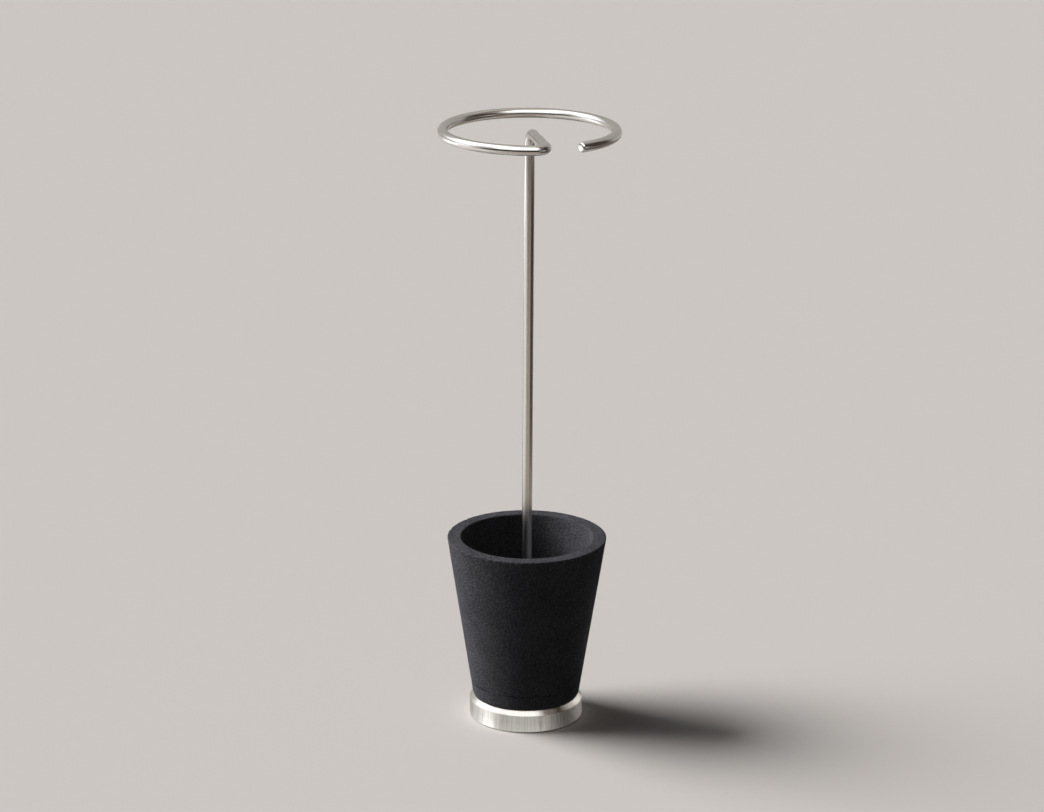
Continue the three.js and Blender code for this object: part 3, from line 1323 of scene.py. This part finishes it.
@dataclass
class Viewpoint:
    """The camera, above the stand and to the left of straight in front."""

    distance: float = 3.05
    height: float = 1.272
    tilt: float = math.radians(17.313)
    pan: float = math.radians(0.106)
    roll: float = math.radians(0.37)
    focal_length: float = 112.9
    sensor_width: float = 36.0

    def build(self) -> None:
        """Makes the camera and hands it to the scene."""
        data = bpy.data.cameras.new("viewpoint")
        data.lens = self.focal_length
        data.sensor_width = self.sensor_width
        camera = bpy.data.objects.new("viewpoint", data)
        turned = Matrix.Rotation(CAMERA_SIDE + self.pan, 4, "Z")
        turned @= Matrix.Rotation(QUARTER_TURN - self.tilt, 4, "X")
        turned @= Matrix.Rotation(self.roll, 4, "Z")
        place = Matrix.Rotation(CAMERA_SIDE, 4, "Z") @ Vector((0.0, -self.distance, self.height))
        camera.matrix_world = Matrix.Translation(place) @ turned
        bpy.context.scene.collection.objects.link(camera)
        bpy.context.scene.camera = camera


@dataclass
class Card:
    """A card curved round the set. Only the mirror-like steel sees it.

    Directions are degrees as seen from the stand: 0 is towards the camera, and more is further to its
    right. The card is the strip between two points, each a distance from the stand and a height.
    """

    name: str
    start: float
    end: float
    inner: tuple[float, float]
    outer: tuple[float, float]
    tint: str
    glow: float
    lag: float = 0.0  # how much further round the outer edge lies than the inner one
    step: float = 5.0  # degrees between the card's folds

    def mesh(self) -> Mesh:
        """Spins the card's edge round the stand.

        Returns:
            The card as an open strip.
        """
        bm = bmesh.new()
        verts = []
        for (radius, height), angle in ((self.inner, self.start), (self.outer, self.start + self.lag)):
            way = Vector((math.sin(math.radians(angle)), -math.cos(math.radians(angle)), 0.0))
            verts.append(bm.verts.new(way * radius + UP * height))
        strip = verts + [bm.edges.new(verts)]
        span = self.end - self.start
        steps = math.ceil(span / self.step)
        bmesh.ops.spin(bm, geom=strip, cent=ORIGIN, axis=UP, angle=math.radians(span), steps=steps)
        return bm


@dataclass
class Studio:
    """A plain pale floor, soft light from the left, a pale surround, and cards for the steel to mirror."""

    floor_size: float = 60.0
    floor: Finish = StudioPaint("pale_floor")
    daylight: str = "#FDFCFB"
    surround: str = "#D4D0CD"
    ambient: float = 0.097  # the surround's strength as light on the stand
    fade_start: int = 16  # where the cards start that fade round the front, in degrees
    fade_width: int = 5
    fade_count: int = 7
    fade_glow: float = 0.77
    fade_share: float = 0.75  # how bright each of them is beside the one before

    def build(self) -> None:
        """Makes the floor, the lamps, the cards and the world."""
        self.add_floor()
        self.add_sun("daylight", strength=3.8, spread=36, place=(-2.0, 0.55, 1.62))
        self.add_sun("low_daylight", strength=2.4, spread=60, place=(-2.0, 0.5, 0.4))
        for card in self.cards():
            self.add_card(card)
        self.add_world()

    def cards(self) -> list[Card]:
        """Lists the cards.

        The nearest ones on the floor show in the disc's side, and the upright ones close to the pot
        show in its chamfer. The others stand or lie further out. They are bright on the left and
        above, and dim in front and on the right.

        Returns:
            The cards.
        """
        near, far = (0.0564, 0.001), (0.112, 0.001)
        low_near, low_far = (0.0564, 0.0008), (0.112, 0.0008)  # of cards that pass under others
        fading = []
        for step in range(self.fade_count):
            start = self.fade_start + step * self.fade_width
            end = start + self.fade_width
            glow = self.fade_glow * self.fade_share**step
            fading.append(Card(f"front_fade_{step}", start, end, near, far, "#FFFBF7", glow, lag=12))
        return fading + [
            Card("left_rim", -72, -59, near, far, "#FFFFFF", 0.95, lag=-30),
            Card("left_edge", -59, -50, low_near, low_far, "#FFFFFF", 1.2, lag=-25),
            Card("left_fade", -36, -28, low_near, low_far, "#FFFFFF", 1.0, lag=-17),
            Card("left_flash", -103, -76, (0.12, 0.045), (0.12, 0.155), "#FFFFFF", 3.0),
            Card("right_notch", 63, 81, (0.12, 0.06), (0.12, 0.155), "#806858", 0.02),
            Card("right_glint", 81, 98, (0.12, 0.05), (0.12, 0.13), "#FFF4EC", 0.75),
            Card("right_flash", 98, 132, (0.12, 0.02), (0.12, 0.1), "#FFFAF5", 1.15),
            Card("front_shine", -28, 16, near, (0.14, 0.001), "#FBFCF8", 0.8),
            Card("edge_fade", 51, 66, near, far, "#FFFAF6", 0.16, lag=12),
            Card("edge_shine", 66, 100, near, far, "#FFFAF6", 0.26, lag=12),
            Card("left_bounce", -132, -46, (0.55, 0.0), (0.55, 0.42), "#FAF8F4", 1.1),
            Card("left_back", -178, -132, (0.55, 0.0), (0.55, 0.36), "#F4F2EE", 0.75),
            Card("left_shine", -51, -34, near, far, "#FFFFFF", 1.75, lag=-21),
            Card("left_high", -138, -116, (0.54, 0.27), (0.54, 0.4), "#FFFDFA", 1.7),
            Card("end_glow", -124, -96, (0.5, 0.37), (0.5, 0.525), "#FFFFFF", 2.4),
            Card("window_glow", -128, -70, (2.2, 1.0), (2.2, 2.4), "#F8FAFF", 2.0),
            Card("window_low", -102, -76, (2.1, 0.1), (2.1, 0.8), "#F8FAFF", 1.9),
            Card("front_glow", -45, 36, (2.2, 1.35), (2.2, 2.4), "#FFFFFF", 1.9),
            Card("front_flag", -60, 45, (2.2, 0.0), (2.2, 1.1), "#B0A8A0", 0.05),
            Card("near_mat", -20, 80, (0.3, 0.001), (1.15, 0.001), "#E6DACC", 0.64),
            Card("front_mat", -20, 80, (1.15, 0.001), (2.2, 0.001), "#E6D8CA", 0.5),
            Card("ceiling", -140, 46, (0.5, 2.4), (2.2, 2.4), "#FFFDFA", 2.6),
            Card("right_shelf", 46, 118, (0.2, 0.5), (0.55, 0.5), "#E8CEC0", 0.36),
            Card("shelf_top", 46, 118, (0.2, 0.505), (0.56, 0.505), "#D0CAC4", 0.27),
            Card("right_flag", 45, 118, (0.62, 0.0), (0.62, 0.5), "#B8A898", 0.14),
            Card("right_wall", 45, 112, (0.62, 0.5), (0.62, 1.15), "#D8B8A8", 0.08),
            Card("right_bronze", 84, 112, (0.29, 0.42), (0.5, 0.42), "#C09C88", 0.1),
            Card("right_gap", 56, 70, (0.6, 0.5), (0.6, 0.62), "#FFFFFF", 1.2),
            Card("right_top", 50, 118, (0.4, 2.4), (2.2, 2.4), "#E0CDBF", 0.34),
            Card("right_high", 50, 118, (2.2, 1.8), (2.2, 2.4), "#E0CDBF", 0.3),
            Card("back_dim", 118, 238, (2.4, 0.62), (2.4, 3.2), "#E8E6E0", 0.6),
            Card("back_mat", 130, 230, (0.13, 0.001), (0.6, 0.001), "#D8D0C8", 0.36),
            Card("right_low", 118, 178, (0.62, 0.0), (0.62, 0.42), "#C8BCB0", 0.6),
        ]

    def add_stage(self, name: str, bm: Mesh, paint: Finish) -> bpy.types.Object:
        """Adds a part of the set, which isn't part of the stand.

        Args:
            name: What it is called.
            bm: Its mesh, which is freed.
            paint: Its finish.

        Returns:
            Its object.
        """
        mesh = bpy.data.meshes.new(name)
        bm.to_mesh(mesh)
        bm.free()
        mesh.materials.append(paint.make())
        item = bpy.data.objects.new(name, mesh)
        bpy.context.scene.collection.objects.link(item)
        return item

    def add_floor(self) -> None:
        """Makes the floor."""
        bm = bmesh.new()
        bmesh.ops.create_grid(bm, x_segments=1, y_segments=1, size=self.floor_size / 2)
        self.add_stage("studio_floor", bm, self.floor)

    def add_card(self, card: Card) -> None:
        """Adds a card that only mirror-like surfaces see, so that it lights and shades nothing.

        Args:
            card: The card.
        """
        bm = card.mesh()
        bmesh.ops.rotate(bm, verts=bm.verts, cent=ORIGIN, matrix=Matrix.Rotation(CAMERA_SIDE, 3, "Z"))
        item = self.add_stage(card.name, bm, GlowPaint(f"{card.name}_paint", card.tint, card.glow))
        item.visible_camera = False
        item.visible_diffuse = False
        item.visible_shadow = False
        item.visible_transmission = False

    def add_sun(self, name: str, strength: float, spread: float, place: Sequence[float]) -> None:
        """Adds a broad soft light that lights the set evenly. The cards stand in for its glint.

        Args:
            name: What the lamp is called.
            strength: Its strength.
            spread: How wide it is, in degrees, as seen from the stand.
            place: Where it shines from, as seen by the camera.
        """
        data = bpy.data.lights.new(name, "SUN")
        data.energy = strength
        data.angle = math.radians(spread)
        data.color = linear(self.daylight)[:3]
        lamp = bpy.data.objects.new(name, data)
        lamp.location = Matrix.Rotation(CAMERA_SIDE, 4, "Z") @ Vector(place)
        lamp.rotation_euler = lamp.location.to_track_quat("Z", "Y").to_euler()
        lamp.visible_glossy = False
        bpy.context.scene.collection.objects.link(lamp)

    def add_world(self) -> None:
        """Makes the surround: pale where it is seen or mirrored, and softer as light on the stand."""
        world = bpy.data.worlds.new("surround")
        world.use_nodes = True
        tree = world.node_tree
        tree.nodes.clear()
        inputs = {"Value": seen_rays(tree), "To Min": self.ambient, "To Max": 1.0}
        strength = add_node(tree, "MapRange", "Result", inputs)
        inputs = {"Color": linear(self.surround), "Strength": strength}
        background = add_node(tree, "Background", "Background", inputs)
        add_node(tree, "OutputWorld", inputs={"Surface": background})
        bpy.context.scene.world = world


# ---------- the whole ----------


def main() -> None:
    """Builds the stand and the set."""
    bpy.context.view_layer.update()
    pin = CrossPin()
    BentBar().build(pin)
    FootFitting().build(pin)
    pin.build()
    ClampWasher().build()
    CastPot().build()
    Base().build()
    Viewpoint().build()
    Studio().build()
    bpy.context.scene.view_settings.view_transform = "Standard"


if __name__ == "__main__":
    main()
